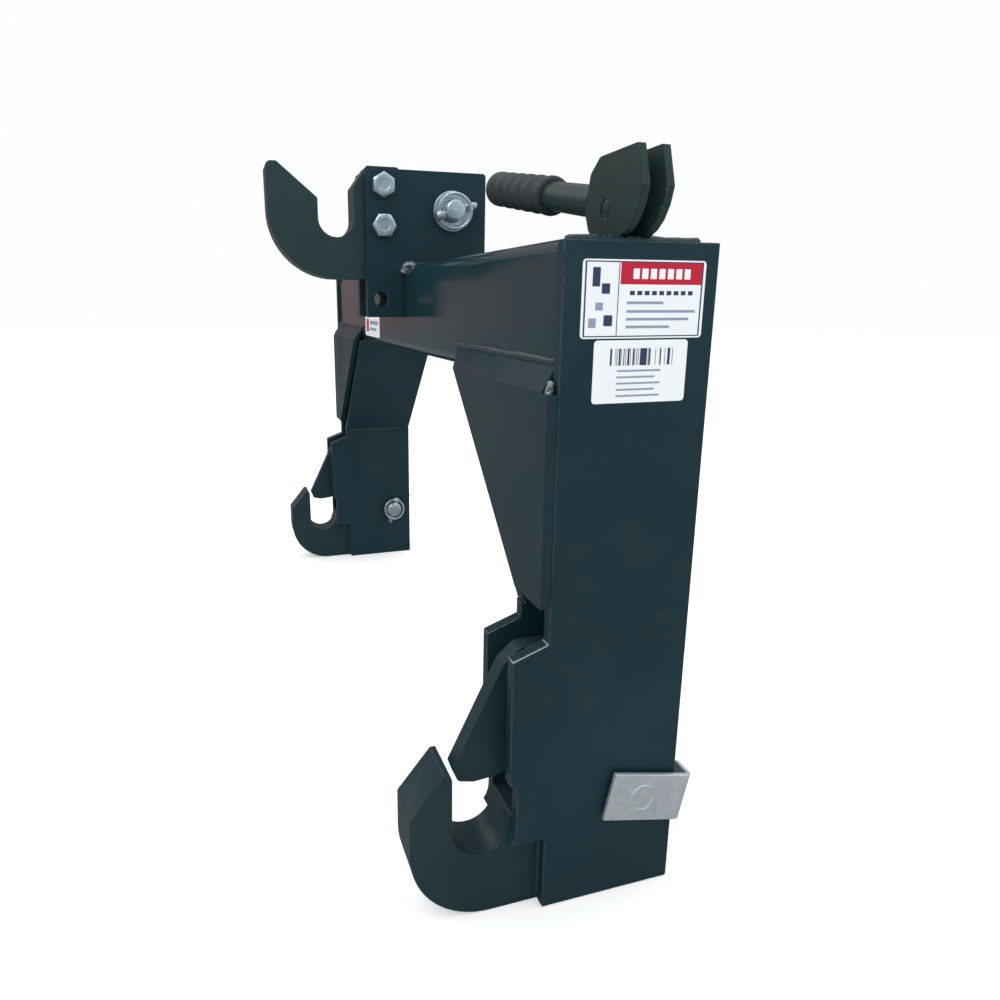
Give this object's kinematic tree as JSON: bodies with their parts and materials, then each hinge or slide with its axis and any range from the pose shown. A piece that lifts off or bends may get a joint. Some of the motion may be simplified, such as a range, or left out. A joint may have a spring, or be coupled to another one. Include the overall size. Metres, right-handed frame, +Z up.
{
  "type": "three-point quick hitch",
  "caption": "Welded quick hitch frame with two sprung lower hooks, an upper hook, release levers and link pins, for a small tractor's three-point linkage",
  "frame": {"origin": "middle of the bottom of the bounding box, which is the ground that the two legs stand on", "axes": "+Z up, +X across the tractor to the hitch's right as seen from the implement, +Y towards the tractor, hooks towards -Y"},
  "size_m": [0.7554, 0.2204, 0.49],
  "materials": {
    "coat": "black powder coat, smooth and slightly glossy",
    "zinc": "bright zinc plate",
    "steel": "plain steel, lightly oiled",
    "rubber": "ribbed matte rubber"
  },
  "bodies": {
    "frame": {"crossbar": "coat", "mast_plate_right": "coat", "mast_plate_left": "coat", "top_hook": "coat", "mast_bolt_upper": "zinc", "mast_bolt_lower": "zinc", "mast_nut_upper": "zinc", "mast_nut_lower": "zinc", "outer_side_plate_right": "coat", "inner_side_plate_right": "coat", "gusset_face_right": "coat", "gusset_plate_right": "coat", "lower_hook_right": "coat", "latch_pivot_pin_right": "steel", "outer_side_plate_left": "coat", "inner_side_plate_left": "coat", "gusset_face_left": "coat", "gusset_plate_left": "coat", "lower_hook_left": "coat", "latch_pivot_pin_left": "steel"},
    "rod_right": {"pull_rod_right": "steel", "rod_link_pin_right": "steel", "spring_collar_right": "steel", "rod_spring_right": "steel"},
    "lever_right": {"lever_ear_front_right": "coat", "lever_ear_rear_right": "coat", "lever_pivot_pin_right": "coat", "lever_bar_right": "coat", "lever_grip_right": "rubber"},
    "latch_right": {"latch_right": "coat"},
    "hitch_pin_right": {"hitch_pin_right": "zinc", "hitch_pin_flag_right": "zinc", "hitch_linch_pin_right": "zinc"},
    "hitch_ring_right": {"hitch_linch_ring_right": "zinc"},
    "rod_left": {"pull_rod_left": "steel", "rod_link_pin_left": "steel", "spring_collar_left": "steel", "rod_spring_left": "steel"},
    "lever_left": {"lever_ear_front_left": "coat", "lever_ear_rear_left": "coat", "lever_pivot_pin_left": "coat", "lever_bar_left": "coat", "lever_grip_left": "rubber"},
    "latch_left": {"latch_left": "coat"},
    "hitch_pin_left": {"hitch_pin_left": "zinc", "hitch_pin_flag_left": "zinc", "hitch_linch_pin_left": "zinc"},
    "hitch_ring_left": {"hitch_linch_ring_left": "zinc"},
    "top_link_pin": {"top_link_pin": "zinc", "top_link_washer": "zinc", "top_link_linch_pin": "zinc"},
    "top_link_ring": {"top_link_linch_ring": "zinc"}
  },
  "joints": [
    {"name": "rod_right_lift", "type": "slide", "parent": "frame", "child": "rod_right", "axis": [0, 0, 1], "range_m": [0, 0.024], "stiffness_N_per_m": 1200, "springref_m": -0.015, "deforming": ["rod_spring_right"]},
    {"name": "lever_right_turn", "type": "hinge", "parent": "rod_right", "child": "lever_right", "pos_m": [0.3415, 0.05198, 0.4195], "axis": [0, 1, 0], "range_deg": [0, 100]},
    {"name": "latch_right_swing", "type": "hinge", "parent": "frame", "child": "latch_right", "pos_m": [0.3415, 0.00978, 0.158], "axis": [1, 0, 0], "range_deg": [0, 31.8]},
    {"name": "hitch_pin_right_turn", "type": "hinge", "parent": "frame", "child": "hitch_pin_right", "pos_m": [0.3415, 0.07378, 0.0695], "axis": [1, 0, 0], "range_deg": [0, 24]},
    {"name": "hitch_ring_right_swing", "type": "hinge", "parent": "hitch_pin_right", "child": "hitch_ring_right", "pos_m": [0.3109, 0.07794, 0.08308], "axis": [0, 0.9563, -0.2924], "range_deg": [0, 120]},
    {"name": "rod_left_lift", "type": "slide", "parent": "frame", "child": "rod_left", "axis": [0, 0, 1], "range_m": [0, 0.024], "stiffness_N_per_m": 1200, "springref_m": -0.015, "deforming": ["rod_spring_left"]},
    {"name": "lever_left_turn", "type": "hinge", "parent": "rod_left", "child": "lever_left", "pos_m": [-0.3415, 0.05198, 0.4195], "axis": [0, -1, 0], "range_deg": [0, 100]},
    {"name": "latch_left_swing", "type": "hinge", "parent": "frame", "child": "latch_left", "pos_m": [-0.3415, 0.00978, 0.158], "axis": [1, 0, 0], "range_deg": [0, 31.8]},
    {"name": "hitch_pin_left_turn", "type": "hinge", "parent": "frame", "child": "hitch_pin_left", "pos_m": [-0.3415, 0.07378, 0.0695], "axis": [1, 0, 0], "range_deg": [0, 24]},
    {"name": "hitch_ring_left_swing", "type": "hinge", "parent": "hitch_pin_left", "child": "hitch_ring_left", "pos_m": [-0.3109, 0.07794, 0.08308], "axis": [0, -0.9563, 0.2924], "range_deg": [0, 120]},
    {"name": "top_link_pin_turn", "type": "hinge", "parent": "frame", "child": "top_link_pin", "pos_m": [0, 0.05728, 0.4525], "axis": [1, 0, 0], "continuous": true},
    {"name": "top_link_ring_swing", "type": "hinge", "parent": "top_link_pin", "child": "top_link_ring", "pos_m": [0.0323, 0.04275, 0.44806], "axis": [0, 0.2924, -0.9563], "range_deg": [0, 120]}
  ],
  "couplings": [
    {"joint": "rod_right_lift", "follows": "lever_right_turn", "m_per_rad": 0.01375},
    {"joint": "latch_right_swing", "follows": "lever_right_turn", "ratio": 0.318},
    {"joint": "rod_left_lift", "follows": "lever_left_turn", "m_per_rad": 0.01375},
    {"joint": "latch_left_swing", "follows": "lever_left_turn", "ratio": 0.318}
  ]
}
